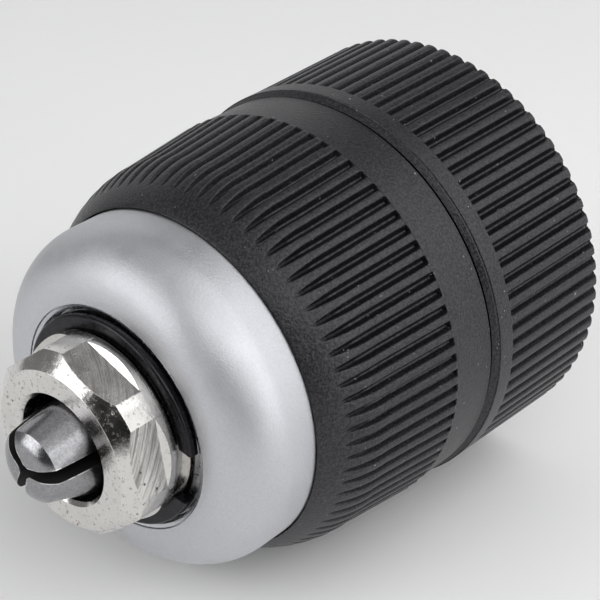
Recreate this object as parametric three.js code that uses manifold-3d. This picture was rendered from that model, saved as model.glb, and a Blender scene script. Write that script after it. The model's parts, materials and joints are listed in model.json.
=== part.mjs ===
// Keyless drill chuck with two sleeves, 0.8 to 10 mm capacity, jaws closed. Millimetres, +Z up.
// The chuck lies along Y: its nose points to -Y, and the flat rear face is at y = 0.
// A station is a distance from the rear face towards the nose, so y = -station.
// Angles run from +X towards +Z, anticlockwise as seen from the nose.

import * as THREE from 'three';
import { mergeVertices } from 'three/addons/utils/BufferGeometryUtils.js';
import Module from 'manifold-3d';

const wasm = await Module();
wasm.setup();

// ---------------------------------------------------------------- driving dimensions
const RUN_GAP = 0.3; // clearance left between pieces that touch or run on each other

const JAW_COUNT = 3;
const JAW_TILT = THREE.MathUtils.degToRad(17); // between a jaw's axis and the chuck's axis
const JAW_RADIUS = 3.25;
const JAW_APEX = 57.9; // station where the three jaw axes meet the chuck's axis
const JAW_REAR = 27; // station of the middle of a closed jaw's rear end
const JAW_TIP = 57.6;
const JAW_TIP_BEVEL = 1.0;
const JAW_TIP_RADIUS = 3.6; // over the closed jaws, behind the bevel
const JAW_FACE_GAP = 0.35; // from a gripping face to the plane halfway to the next jaw
const JAW_FACE_RELIEF = THREE.MathUtils.degToRad(4); // opens the slot between jaws outwards
const JAW_BORE_CLEARANCE = 0.25;
const PHASE = THREE.MathUtils.degToRad(10); // angle of the first slot and of the first flat

const THREAD_PITCH = 2.0; // along a jaw
const THREAD_DEPTH = 1.0; // of the grooves in a jaw
const THREAD_FLOOR_WIDTH = 0.9;
const THREAD_MOUTH_WIDTH = 1.4;
const THREAD_FLANK_GAP = 0.2;
const THREAD_TIP_GAP = 0.45;
const THREAD_FRONT = 47.5; // station where the jaw threads stop

const REAR_SLEEVE_RADIUS = 21.35;
const REAR_SLEEVE_START = 0.8;
const REAR_SLEEVE_END = 17.5;
const SLEEVE_GAP = 0.35; // the dark line between the two sleeves
const REAR_RIB_END = 15;
const RIB_COUNT = 80; // on each sleeve
const RIB_DEPTH = 0.5;

const COLLAR_RADIUS = 20.45;
const COLLAR_END = 23.1;
const RIB_STEP = 0.25; // from the collar up to the ribs
const FRONT_RIB_END = 37.1;
const FRONT_RIB_FADE = 4; // length over which the valleys run out
const SHOULDER_RADIUS = 19.9; // where the front sleeve starts to curve in
const SHOULDER_STATION = 32;
const FRONT_SLEEVE_END = 38.97;

const BEARING_OUTER = 18.35;
const BALL_RADIUS = 1.0;
const BALL_COUNT = 16;
const BALL_CIRCLE = 16.65;
const BALL_STATION = 21.6; // halfway between the two races
const BALL_ROOM = 0.2; // round each ball in its hole in the cage
const CAGE_THICKNESS = 0.8;
const RACE_THICKNESS = 1.3;
const RACE_GROOVE_WIDTH = 1.6;
const RACE_GROOVE_DEPTH = 0.3;

const NUT_START = 24.6;
const NUT_END = 31.4;
const NUT_OUTER = 16.6;
const NUT_CHAMFER = 1.0;
const BAND_WALL = 0.9;
const BAND_LIP = 2; // how far the band reaches in over the front of the nut

const CONE_RADIUS = 17.0;
const CONE_ARC = 5.3; // radius of the cone's rounded front edge
const CONE_ARC_STATION = 41.8;
const CONE_WALL = 1.0;
const CONE_TAIL = 34; // station of the cone's rear end, inside the front sleeve
const OPENING_RADIUS = 10.9;
const CONE_FLANGE_START = 44.6; // the flat inner flange, which turns round the nose
const CONE_FLANGE_END = 45.45;

const WASHER_THICKNESS = 0.6;
const RING_THICKNESS = 1.0;
const RING_INSET = 0.45; // from the opening's edge to the washer and the snap ring
const RING_GAP = 5.6; // width of the opening that lets the ring be sprung into place
const RING_GAP_ANGLE = THREE.MathUtils.degToRad(-10);
const RING_GROOVE_START = 46.6;
const RING_GROOVE_END = 47.9;
const RING_GROOVE_DEPTH = 0.5;

const NOSE_RADIUS = 9.2;
const NOSE_FACE = 53.5;
const NOSE_FACE_RADIUS = 7.77;
const NOSE_BORE_RADIUS = 5.24;
const FLAT_COUNT = 6;
const FLAT_DISTANCE = 8.55;
const FLAT_START = 49.3;

const HUB_RADIUS = 9.8; // the sleeve's web sits on it
const HUB_END = 4.6;
const COLUMN_RADIUS = 12.6; // the body behind the bearing and in front of the nut
const COLUMN_END = 37.5;
const SEAT_RADIUS = 14.4; // under the bearing
const SEAT_END = 23.9;
const FLANGE_START = 15.9; // the flange behind the bearing
const FLANGE_END = 18.7;
const NOSE_START = 43.8;
const SOCKET_RADIUS = 4.55; // core of the 3/8-24 spindle thread
const SOCKET_DEPTH = 14.5;
const SCREW_HOLE_RADIUS = 3.0;
const CAVITY_FLOOR = 22; // station of the bottom of the cavity between the jaws

const FINE = 36; // segments round the body and the nose cone
const COARSE = 32; // round the other rings and bores
const NUT_SEGMENTS = 24;
const JAW_SEGMENTS = 16;
const CUT = 60; // longer than anything it cuts

// ---------------------------------------------------------------- solids
function toManifold(geometry) {
  const bare = geometry.index ? geometry.toNonIndexed() : geometry.clone();
  bare.deleteAttribute('normal');
  bare.deleteAttribute('uv');
  const merged = mergeVertices(bare, 1e-4);
  const vertProperties = new Float32Array(merged.attributes.position.array);
  const triVerts = new Uint32Array(merged.index.array);
  const solid = new wasm.Manifold(new wasm.Mesh({ numProp: 3, vertProperties, triVerts }));
  if (solid.volume() > 0) return solid;
  for (let i = 0; i < triVerts.length; i += 3) {
    const second = triVerts[i + 1];
    triVerts[i + 1] = triVerts[i + 2];
    triVerts[i + 2] = second;
  }
  return new wasm.Manifold(new wasm.Mesh({ numProp: 3, vertProperties, triVerts }));
}

function toGeometry(solid) {
  const mesh = solid.getMesh();
  const geometry = new THREE.BufferGeometry();
  geometry.setAttribute('position', new THREE.BufferAttribute(mesh.vertProperties, 3));
  geometry.setIndex(new THREE.BufferAttribute(mesh.triVerts, 1));
  geometry.computeVertexNormals();
  return geometry;
}

// Revolves [radius, station] pairs. Its first edge lies at the angle start.
function lathe(profile, segments, start) {
  const points = profile.map(([radius, station]) => new THREE.Vector2(radius, -station));
  return turned(new THREE.LatheGeometry(points, segments), start - Math.PI / 2);
}

// A solid of revolution. A profile that leaves the axis is closed.
function revolve(profile, segments = COARSE) {
  const onAxis = profile[0][0] === 0 && profile.at(-1)[0] === 0;
  return toManifold(lathe(onAxis ? profile : [...profile, profile[0]], segments, PHASE));
}

function ring(inner, outer, start, end, segments = COARSE) {
  return revolve([[inner, start], [outer, start], [outer, end], [inner, end]], segments);
}

function disc(radius, start, end, segments = COARSE) {
  return revolve([[0, start], [radius, start], [radius, end], [0, end]], segments);
}

// Points on an arc of a profile, from one angle to another; 0 points outwards, 90 to the nose.
function arc(radius, station, size, from, to, steps) {
  return Array.from({ length: steps + 1 }, (unused, i) => {
    const angle = THREE.MathUtils.degToRad(from + (to - from) * i / steps);
    return [radius + size * Math.cos(angle), station + size * Math.sin(angle)];
  });
}

function block(width, length, height, x, y, z) {
  const geometry = new THREE.BoxGeometry(width, length, height);
  geometry.translate(x, y, z);
  return geometry;
}

// Turns a geometry that was made at angle 0 (its outward side at +X) to an angle about the axis.
function turned(geometry, angle) {
  return geometry.clone().rotateY(-angle);
}

function addAll(solids) {
  return solids.reduce((sum, solid) => sum.add(solid));
}

function aroundAxis(count, make) {
  return Array.from({ length: count }, (unused, i) => make(PHASE + i * 2 * Math.PI / count, i));
}

// ---------------------------------------------------------------- jaws and their thread
// Radius, at a station, of the cone that lies a given height above the jaw axes.
function coneRadius(station, height) {
  return (JAW_APEX - station) * Math.tan(JAW_TILT) + height / Math.cos(JAW_TILT);
}

// A point in the plane of a jaw at angle 0: distance along the jaw from station 0, and height
// above its axis, as [radius, station].
function jawPoint(along, height) {
  const apexAlong = JAW_APEX / Math.cos(JAW_TILT);
  return [
    (apexAlong - along) * Math.sin(JAW_TILT) + height * Math.cos(JAW_TILT),
    along * Math.cos(JAW_TILT) + height * Math.sin(JAW_TILT),
  ];
}

// A round bar on a jaw's axis, between two stations measured on that axis.
function jawBar(radius, start, end, angle) {
  const length = (end - start) / Math.cos(JAW_TILT);
  const middle = (start + end) / 2;
  const bar = new THREE.CylinderGeometry(radius, radius, length, JAW_SEGMENTS);
  bar.rotateZ(-JAW_TILT);
  bar.translate((JAW_APEX - middle) * Math.tan(JAW_TILT), -middle, 0);
  return toManifold(turned(bar, angle));
}

// The wedge between a jaw's two gripping faces. Its edge lies on the chuck's axis side.
function grippingWedge(angle) {
  const halfAngle = Math.PI / JAW_COUNT - JAW_FACE_RELIEF;
  const edge = JAW_FACE_GAP / Math.sin(Math.PI / JAW_COUNT);
  const shape = new THREE.Shape();
  shape.moveTo(edge, 0);
  shape.lineTo(edge + CUT * Math.cos(halfAngle), CUT * Math.sin(halfAngle));
  shape.lineTo(edge + CUT * Math.cos(halfAngle), -CUT * Math.sin(halfAngle));
  const wedge = new THREE.ExtrudeGeometry(shape, { depth: 2 * CUT, bevelEnabled: false });
  wedge.rotateX(Math.PI / 2);
  return toManifold(turned(wedge, angle));
}

// Everything inside the closed jaws' common outline: the bevelled tip, and free space behind it.
function jawEnvelope() {
  const bevelStart = JAW_TIP - JAW_TIP_BEVEL;
  const flare = CUT * Math.tan(JAW_TILT);
  return revolve([
    [0, bevelStart - CUT],
    [JAW_TIP_RADIUS + flare, bevelStart - CUT],
    [JAW_TIP_RADIUS, bevelStart],
    [JAW_TIP_RADIUS - JAW_TIP_BEVEL, JAW_TIP],
    [0, JAW_TIP],
  ]);
}

// One groove across the outer side of a jaw, its middle at a distance along the jaw.
function threadGroove(along, angle) {
  const widen = (THREAD_MOUTH_WIDTH - THREAD_FLOOR_WIDTH) / 2;
  const floor = JAW_RADIUS - THREAD_DEPTH;
  const above = JAW_RADIUS + THREAD_DEPTH;
  const half = THREAD_FLOOR_WIDTH / 2;
  const corners = [[-half, floor], [half, floor], [half + 2 * widen, above], [-half - 2 * widen, above]];
  const outline = corners.map(([shift, height]) => {
    const [radius, station] = jawPoint(along + shift, height);
    return new THREE.Vector2(radius, -station);
  });
  const groove = new THREE.ExtrudeGeometry(new THREE.Shape(outline), {
    depth: 2 * JAW_RADIUS, bevelEnabled: false,
  });
  groove.translate(0, 0, -JAW_RADIUS);
  return toManifold(turned(groove, angle));
}

// The thread's place along the jaws at an angle; it moves one pitch in a turn.
function threadAlong(angle) {
  return NUT_START / Math.cos(JAW_TILT) + THREAD_PITCH * angle / (2 * Math.PI);
}

function jawGrooves(angle) {
  const first = threadAlong(angle);
  const rearEnd = JAW_REAR / Math.cos(JAW_TILT);
  const frontEnd = THREAD_FRONT / Math.cos(JAW_TILT);
  const grooves = [];
  for (let along = first; along < frontEnd; along += THREAD_PITCH) {
    if (along > rearEnd - THREAD_PITCH / 2) grooves.push(threadGroove(along, angle));
  }
  return addAll(grooves);
}

function jaw(angle) {
  return jawBar(JAW_RADIUS, JAW_REAR, JAW_APEX + JAW_RADIUS, angle)
    .intersect(grippingWedge(angle))
    .intersect(jawEnvelope())
    .subtract(jawGrooves(angle));
}

// ---------------------------------------------------------------- split nut and its band
// The thread ridge inside the nut: a long box wound into a tapering helix.
function nutRidge() {
  const turns = (NUT_END - NUT_START) / (THREAD_PITCH * Math.cos(JAW_TILT)) + 2;
  const segments = Math.ceil(turns * NUT_SEGMENTS);
  const crest = JAW_RADIUS - THREAD_DEPTH + THREAD_TIP_GAP;
  const root = JAW_RADIUS + 2 * THREAD_TIP_GAP;
  const slope = (THREAD_MOUTH_WIDTH - THREAD_FLOOR_WIDTH) / (2 * THREAD_DEPTH);
  const crestHalf = THREAD_FLOOR_WIDTH / 2 + slope * THREAD_TIP_GAP - THREAD_FLANK_GAP;
  const rootHalf = crestHalf + slope * (root - crest);
  const geometry = new THREE.BoxGeometry(1, 1, 1, segments, 1, 1);
  const corners = geometry.attributes.position;
  for (let i = 0; i < corners.count; i += 1) {
    const angle = ((corners.getX(i) + 0.5) * segments / NUT_SEGMENTS - 1) * 2 * Math.PI;
    const atRoot = corners.getZ(i) > 0;
    const shift = Math.sign(corners.getY(i)) * (atRoot ? rootHalf : crestHalf);
    const [radius, station] = jawPoint(threadAlong(angle) + shift, atRoot ? root : crest);
    corners.setXYZ(i, radius * Math.cos(angle), -station, radius * Math.sin(angle));
  }
  return toManifold(geometry);
}

function wholeNut() {
  const root = JAW_RADIUS + THREAD_TIP_GAP;
  const body = revolve([
    [coneRadius(NUT_START, root), NUT_START],
    [NUT_OUTER, NUT_START],
    [NUT_OUTER, NUT_END - NUT_CHAMFER],
    [NUT_OUTER - NUT_CHAMFER, NUT_END],
    [coneRadius(NUT_END, root), NUT_END],
  ], NUT_SEGMENTS);
  const between = disc(NUT_OUTER, NUT_START, NUT_END, NUT_SEGMENTS);
  return body.add(nutRidge().intersect(between));
}

function nutHalf(side) {
  const halfSpace = block(CUT, 2 * CUT, 2 * CUT, side * (CUT / 2 + RUN_GAP / 2), 0, 0);
  return wholeNut().intersect(toManifold(turned(halfSpace, PHASE)));
}

function nutBand() {
  const inner = NUT_OUTER + RUN_GAP;
  const lipStart = NUT_END + RUN_GAP;
  const lipInner = NUT_OUTER - BAND_LIP;
  return revolve([
    [inner, NUT_START],
    [inner + BAND_WALL, NUT_START],
    [inner + BAND_WALL, lipStart + BAND_WALL],
    [lipInner, lipStart + BAND_WALL],
    [lipInner, lipStart],
    [inner, lipStart],
  ]);
}

// ---------------------------------------------------------------- chuck body
// The jaws lie in three slanted bores, which break out of a cone under the nut.
function bodyProfile() {
  const edge = 0.5;
  const underNut = JAW_RADIUS - THREAD_DEPTH - RUN_GAP / 2;
  const coneStart = NUT_START - RUN_GAP;
  const coneEnd = NUT_END + 1.2;
  const ringGrooveFloor = NOSE_RADIUS - RING_GROOVE_DEPTH;
  return [
    [0, 0],
    [HUB_RADIUS - edge, 0],
    [HUB_RADIUS, edge],
    [HUB_RADIUS, HUB_END],
    [COLUMN_RADIUS, HUB_END],
    [COLUMN_RADIUS, FLANGE_START - 1.3],
    [BEARING_OUTER, FLANGE_START],
    [BEARING_OUTER, FLANGE_END],
    [SEAT_RADIUS, FLANGE_END],
    [SEAT_RADIUS, SEAT_END],
    [coneRadius(coneStart, underNut), coneStart],
    [coneRadius(coneEnd, underNut), coneEnd],
    [COLUMN_RADIUS, coneEnd + edge],
    [COLUMN_RADIUS, COLUMN_END],
    [NOSE_RADIUS, NOSE_START],
    [NOSE_RADIUS, RING_GROOVE_START],
    [ringGrooveFloor, RING_GROOVE_START],
    [ringGrooveFloor, RING_GROOVE_END],
    [NOSE_RADIUS, RING_GROOVE_END + edge],
    [NOSE_RADIUS, NOSE_FACE - (NOSE_RADIUS - NOSE_FACE_RADIUS)],
    [NOSE_FACE_RADIUS, NOSE_FACE],
    [0, NOSE_FACE],
  ];
}

function noseFlat(angle) {
  const depth = 2;
  const length = NOSE_FACE - FLAT_START + 1;
  const centre = FLAT_DISTANCE + depth / 2;
  const cutter = block(depth, length, 2 * NOSE_RADIUS, centre, -FLAT_START - length / 2, 0);
  return toManifold(turned(cutter, angle));
}

function spindleSocket() {
  const chamfer = 0.8;
  return revolve([
    [0, -1],
    [SOCKET_RADIUS + chamfer + 1, -1],
    [SOCKET_RADIUS, chamfer],
    [SOCKET_RADIUS, SOCKET_DEPTH],
    [SCREW_HOLE_RADIUS, SOCKET_DEPTH + 1],
    [SCREW_HOLE_RADIUS, CAVITY_FLOOR + 1],
    [0, CAVITY_FLOOR + 1],
  ]);
}

// The round cavity that the tool's shank goes into, open at the nose.
function noseBore() {
  const chamfer = 0.35;
  return revolve([
    [0, CAVITY_FLOOR],
    [NOSE_BORE_RADIUS, CAVITY_FLOOR],
    [NOSE_BORE_RADIUS, NOSE_FACE - chamfer],
    [NOSE_BORE_RADIUS + 2 * chamfer, NOSE_FACE + chamfer],
    [0, NOSE_FACE + chamfer],
  ]);
}

function chuckBody() {
  const boreRear = 7;
  const jawBores = aroundAxis(JAW_COUNT, (slot) => {
    const angle = slot + Math.PI / JAW_COUNT;
    return jawBar(JAW_RADIUS + JAW_BORE_CLEARANCE, boreRear, JAW_APEX, angle);
  });
  return revolve(bodyProfile(), FINE)
    .subtract(addAll(jawBores))
    .subtract(addAll(aroundAxis(FLAT_COUNT, noseFlat)))
    .subtract(spindleSocket())
    .subtract(noseBore());
}

// ---------------------------------------------------------------- thrust bearing
// Inner radius of a bearing ring that leaves room for its seat and, behind it, the open jaws.
function bearingInner(start) {
  return Math.max(SEAT_RADIUS, coneRadius(start, JAW_RADIUS)) + RUN_GAP;
}

// A race with a shallow running groove on one face: side 1 faces the nose, side -1 the rear.
function race(back, side) {
  const face = back + side * RACE_THICKNESS;
  const inner = bearingInner(Math.min(back, face));
  return revolve([
    [inner, back],
    [BEARING_OUTER, back],
    [BEARING_OUTER, face],
    [BALL_CIRCLE + RACE_GROOVE_WIDTH / 2, face],
    [BALL_CIRCLE, face - side * RACE_GROOVE_DEPTH],
    [BALL_CIRCLE - RACE_GROOVE_WIDTH / 2, face],
    [inner, face],
  ]);
}

function rearRace() {
  return race(FLANGE_END + RUN_GAP, 1);
}

function frontRace() {
  return race(2 * BALL_STATION - FLANGE_END - RUN_GAP, -1);
}

function ballAt(angle) {
  const ball = new THREE.OctahedronGeometry(BALL_RADIUS, 1);
  ball.translate(BALL_CIRCLE, -BALL_STATION, 0);
  return toManifold(turned(ball, angle));
}

function ballCage() {
  const start = BALL_STATION - CAGE_THICKNESS / 2;
  const holeRadius = BALL_RADIUS + BALL_ROOM;
  const holes = aroundAxis(BALL_COUNT, (angle) => {
    const hole = new THREE.CylinderGeometry(holeRadius, holeRadius, 3 * CAGE_THICKNESS, 6);
    hole.translate(BALL_CIRCLE, -BALL_STATION, 0);
    return toManifold(turned(hole, angle));
  });
  return ring(bearingInner(start), BEARING_OUTER, start, start + CAGE_THICKNESS)
    .subtract(addAll(holes));
}

// ---------------------------------------------------------------- sleeves and nose cone
// A solid of revolution whose outside carries ribs: every other edge lies deeper, as a valley.
function revolveRibbed(profile, valleyDepth) {
  const geometry = lathe(profile, 2 * RIB_COUNT, PHASE);
  const corners = geometry.attributes.position;
  for (let i = 0; i < corners.count; i += 1) {
    const edge = Math.floor(i / profile.length);
    const radius = Math.hypot(corners.getX(i), corners.getZ(i));
    if (edge % 2 === 1 || radius < 1) continue;
    const shrink = 1 - valleyDepth(-corners.getY(i)) / radius;
    corners.setX(i, corners.getX(i) * shrink);
    corners.setZ(i, corners.getZ(i) * shrink);
  }
  return toManifold(geometry);
}

function rearSleeveOutside() {
  const edge = 0.5;
  const radius = REAR_SLEEVE_RADIUS;
  const bandRadius = radius - 0.35;
  const valleyDepth = (station) => {
    if (station > REAR_RIB_END) return 0;
    return station > REAR_SLEEVE_START ? RIB_DEPTH : RIB_DEPTH / 3;
  };
  return revolveRibbed([
    [0, REAR_SLEEVE_START],
    [radius - edge, REAR_SLEEVE_START],
    [radius, REAR_SLEEVE_START + edge],
    [bandRadius, REAR_RIB_END],
    [bandRadius, REAR_RIB_END + RIB_STEP],
    [bandRadius, REAR_SLEEVE_END - edge],
    [bandRadius - edge, REAR_SLEEVE_END],
    [0, REAR_SLEEVE_END],
  ], valleyDepth);
}

// The hollow on each side of the web that holds the sleeve on the body's hub, and the hub's hole.
function rearSleeveInside() {
  const webStart = 1.6;
  const webEnd = 4.2;
  const hole = HUB_RADIUS + RUN_GAP;
  return revolve([
    [0, 0],
    [REAR_SLEEVE_RADIUS - 1.2, 0],
    [REAR_SLEEVE_RADIUS - 2, webStart],
    [hole, webStart],
    [hole, webEnd],
    [BEARING_OUTER + RUN_GAP, webEnd],
    [BEARING_OUTER + RUN_GAP, REAR_SLEEVE_END + 1],
    [0, REAR_SLEEVE_END + 1],
  ]);
}

function rearSleeve() {
  return rearSleeveOutside().subtract(rearSleeveInside());
}

function frontSleeveOutside() {
  const start = REAR_SLEEVE_END + SLEEVE_GAP;
  const ribStart = COLLAR_END + RIB_STEP;
  const shoulderLength = FRONT_RIB_END - SHOULDER_STATION;
  const valleyDepth = (station) => {
    if (station < ribStart) return 0;
    return RIB_DEPTH * THREE.MathUtils.clamp((FRONT_RIB_END - station) / FRONT_RIB_FADE, 0, 1);
  };
  return revolveRibbed([
    [0, start],
    [COLLAR_RADIUS, start],
    [COLLAR_RADIUS, COLLAR_END],
    [COLLAR_RADIUS + RIB_STEP, ribStart],
    [SHOULDER_RADIUS, SHOULDER_STATION],
    [SHOULDER_RADIUS - 0.7, SHOULDER_STATION + 0.63 * shoulderLength],
    [SHOULDER_RADIUS - 1.6, FRONT_RIB_END],
    [CONE_RADIUS + RUN_GAP, FRONT_SLEEVE_END],
    [0, FRONT_SLEEVE_END],
  ], valleyDepth);
}

function frontSleeveInside() {
  const bandRadius = NUT_OUTER + RUN_GAP + BAND_WALL + RUN_GAP;
  const coneSeat = CONE_RADIUS + RUN_GAP;
  return revolve([
    [0, REAR_SLEEVE_END],
    [BEARING_OUTER + RUN_GAP, REAR_SLEEVE_END],
    [BEARING_OUTER + RUN_GAP, NUT_START - 0.5],
    [bandRadius, NUT_START - 0.1],
    [bandRadius, CONE_TAIL - 0.7],
    [coneSeat, CONE_TAIL - RUN_GAP],
    [coneSeat, FRONT_SLEEVE_END + 1],
    [0, FRONT_SLEEVE_END + 1],
  ]);
}

function frontSleeve() {
  return frontSleeveOutside().subtract(frontSleeveInside());
}

// A turned cap with a rounded front edge, a small bright lip and a flat flange inside it.
function noseCone() {
  const arcRadius = CONE_RADIUS - CONE_ARC;
  const hem = OPENING_RADIUS - 0.15;
  const lipRadius = OPENING_RADIUS + 0.2;
  const lipHeight = 0.16;
  const front = CONE_ARC_STATION + CONE_ARC;
  const flangeInner = NOSE_RADIUS + RUN_GAP;
  return revolve([
    [CONE_RADIUS, CONE_TAIL],
    ...arc(arcRadius, CONE_ARC_STATION, CONE_ARC, 0, 90, 6),
    [lipRadius, front + lipHeight],
    [hem, front],
    [hem, CONE_FLANGE_END],
    [flangeInner, CONE_FLANGE_END],
    [flangeInner, CONE_FLANGE_START],
    [arcRadius - CONE_WALL / 2, CONE_FLANGE_START],
    ...arc(arcRadius, CONE_ARC_STATION, CONE_ARC - CONE_WALL, 80, 0, 2),
    [CONE_RADIUS - CONE_WALL, CONE_TAIL],
  ], FINE);
}

function noseWasher() {
  const start = CONE_FLANGE_END + RUN_GAP;
  return ring(NOSE_RADIUS + RUN_GAP, OPENING_RADIUS - RING_INSET, start, start + WASHER_THICKNESS);
}

// The open ring in the nose's groove.
function snapRing() {
  const inner = NOSE_RADIUS - 0.2;
  const outer = OPENING_RADIUS - RING_INSET;
  const bevel = 0.25;
  const start = (RING_GROOVE_START + RING_GROOVE_END - RING_THICKNESS) / 2;
  const end = start + RING_THICKNESS;
  const whole = revolve([
    [inner, start],
    [outer, start],
    [outer, end - bevel],
    [outer - bevel, end],
    [inner, end],
  ]);
  const gap = block(outer, 2 * RING_THICKNESS, RING_GAP, 1.2 * outer, -(start + end) / 2, 0);
  return whole.subtract(toManifold(turned(gap, RING_GAP_ANGLE)));
}

// ---------------------------------------------------------------- materials and assembly
const FINISHES = {
  plastic: { color: 0x2b2c2e, roughness: 0.6, metalness: 0 },
  plated: { color: 0xb9b4ab, roughness: 0.3, metalness: 1 },
  blasted: { color: 0xb4b5b9, roughness: 0.5, metalness: 1 },
  ground: { color: 0x8c8c90, roughness: 0.35, metalness: 1 },
  steel: { color: 0x9a9a9c, roughness: 0.4, metalness: 1 },
  blackened: { color: 0x26262a, roughness: 0.45, metalness: 0.8 },
};

const chuck = new THREE.Group();

function place(name, solid, finish) {
  const mesh = new THREE.Mesh(toGeometry(solid), new THREE.MeshStandardMaterial(FINISHES[finish]));
  mesh.name = name;
  chuck.add(mesh);
}

place('chuck_body', chuckBody(), 'plated');
place('rear_sleeve', rearSleeve(), 'plastic');
place('front_sleeve', frontSleeve(), 'plastic');
place('nose_cone', noseCone(), 'blasted');
place('nose_washer', noseWasher(), 'steel');
place('snap_ring', snapRing(), 'blackened');
place('nut_half_a', nutHalf(1), 'steel');
place('nut_half_b', nutHalf(-1), 'steel');
place('nut_band', nutBand(), 'steel');
place('bearing_race_rear', rearRace(), 'steel');
place('bearing_race_front', frontRace(), 'steel');
place('ball_cage', ballCage(), 'steel');
aroundAxis(JAW_COUNT, (slot, i) => {
  place(`jaw_${i + 1}`, jaw(slot + Math.PI / JAW_COUNT), 'ground');
});
aroundAxis(BALL_COUNT, (angle, i) => {
  const number = String(i + 1).padStart(2, '0');
  place(`ball_${number}`, ballAt(angle), 'ground');
});

export default chuck;
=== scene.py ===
"""A keyless drill chuck: two ribbed plastic sleeves, a blasted nose cone, a plated body and three jaws.

Shapes are worked out in millimetres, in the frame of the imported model: the chuck's axis is Y, its nose
points to -Y and its rear face is at y = 0. A station is a distance from the rear face towards the nose.
Angles run from +X towards +Z.
"""

import json
import math

import bmesh
import bpy
import numpy as np
from mathutils import Matrix, Vector

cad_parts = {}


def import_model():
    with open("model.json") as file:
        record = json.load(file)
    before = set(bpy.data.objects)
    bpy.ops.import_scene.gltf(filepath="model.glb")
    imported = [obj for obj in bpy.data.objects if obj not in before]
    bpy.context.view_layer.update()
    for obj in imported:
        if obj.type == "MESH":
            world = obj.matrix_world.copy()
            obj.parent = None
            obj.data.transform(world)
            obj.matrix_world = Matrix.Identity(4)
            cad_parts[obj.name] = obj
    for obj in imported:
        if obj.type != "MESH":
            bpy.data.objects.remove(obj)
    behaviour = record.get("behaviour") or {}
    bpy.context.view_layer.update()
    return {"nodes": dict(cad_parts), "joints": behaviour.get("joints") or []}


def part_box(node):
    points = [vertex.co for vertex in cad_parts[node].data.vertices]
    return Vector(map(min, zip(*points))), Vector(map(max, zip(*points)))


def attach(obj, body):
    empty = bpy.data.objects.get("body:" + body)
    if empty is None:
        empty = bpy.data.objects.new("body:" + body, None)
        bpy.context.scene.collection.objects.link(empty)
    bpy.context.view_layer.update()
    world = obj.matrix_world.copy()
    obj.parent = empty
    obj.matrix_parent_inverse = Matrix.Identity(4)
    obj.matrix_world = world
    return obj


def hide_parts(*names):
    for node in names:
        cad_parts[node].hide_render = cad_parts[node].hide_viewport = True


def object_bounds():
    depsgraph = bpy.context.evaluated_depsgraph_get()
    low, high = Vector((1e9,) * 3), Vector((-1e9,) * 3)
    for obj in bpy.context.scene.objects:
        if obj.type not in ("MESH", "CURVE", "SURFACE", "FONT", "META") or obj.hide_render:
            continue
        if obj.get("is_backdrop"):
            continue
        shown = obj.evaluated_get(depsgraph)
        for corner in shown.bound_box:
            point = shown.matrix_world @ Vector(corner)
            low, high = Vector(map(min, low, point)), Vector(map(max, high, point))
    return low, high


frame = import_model()

MM = 0.001


# ---------------------------------------------------------------- sizes from the frame
def reach(node):
    """Rear station, front station and outer radius of a CAD node, in millimetres."""
    low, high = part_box(node)
    return -high.y / MM, -low.y / MM, max(high.x, high.z, -low.x, -low.z) / MM


def jaw_axes():
    """The direction in which each jaw opens, as (angle about the chuck's axis, tilt from it)."""
    axes = [Vector(j["axis"]) for j in frame["joints"] if j["type"] == "slide"]
    return [(math.atan2(a.z, a.x), math.acos(a.y)) for a in axes]


REAR_START, REAR_END, REAR_RADIUS = reach("rear_sleeve")
FRONT_START, FRONT_END, FRONT_RADIUS = reach("front_sleeve")
CONE_TAIL, CONE_FRONT, CONE_RADIUS = reach("nose_cone")
_, NOSE_FACE, FLANGE_RADIUS = reach("chuck_body")
WASHER_START, WASHER_END, WASHER_RADIUS = reach("nose_washer")
RING_START, RING_END, RING_RADIUS = reach("snap_ring")
NUT_START, NUT_END, NUT_RADIUS = reach("nut_half_a")
BAND_START, BAND_END, BAND_RADIUS = reach("nut_band")
REAR_RACE_START, REAR_RACE_END, RACE_RADIUS = reach("bearing_race_rear")
FRONT_RACE_START, FRONT_RACE_END, _ = reach("bearing_race_front")
JAW_REAR, JAW_TIP, _ = reach("jaw_1")

JAWS = jaw_axes()
JAW_TILT = JAWS[0][1]
PHASE = JAWS[0][0] - math.radians(60)  # angle of the first slot between jaws and of the first flat
JAW_APEX = NOSE_FACE + 4.4  # station where the jaws' axes meet
JAW_RADIUS = 3.25
JAW_TIP_RADIUS = 3.45  # where the tips begin to round over
JAW_TIP_FLAT = 1.7  # radius of their flat ends
JAW_TIP_ROUNDING = 0.85
BALL_COUNT = len([n for n in frame["nodes"] if n.startswith("ball_") and n != "ball_cage"])
BALL_CIRCLE = 16.65
BALL_RADIUS = 1.0
BALL_STATION = (REAR_RACE_END + FRONT_RACE_START) / 2

RIB_COUNT = 80
RIB_DEPTH = 0.6
THREAD_PITCH = 2.0  # of the nut, along a jaw


# ---------------------------------------------------------------- profiles
def rounded(corners, steps=5):
    """Points of a closed profile. Each corner is (radius, station, fillet radius)."""
    points = []
    for i, (radius, station, fillet) in enumerate(corners):
        here = np.array([radius, station])
        if not fillet:
            points.append(here)
            continue
        before = np.array(corners[i - 1][:2]) - here
        after = np.array(corners[(i + 1) % len(corners)][:2]) - here
        before /= np.linalg.norm(before)
        after /= np.linalg.norm(after)
        half = 0.5 * math.acos(np.clip(before @ after, -1, 1))
        middle = before + after
        centre = here + middle / np.linalg.norm(middle) * fillet / math.sin(half)
        start = here + before * fillet / math.tan(half)
        end = here + after * fillet / math.tan(half)
        for t in np.linspace(0, 1, steps + 1):
            spoke = start * (1 - t) + end * t - centre
            points.append(centre + spoke * fillet / np.linalg.norm(spoke))
    return points


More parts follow.
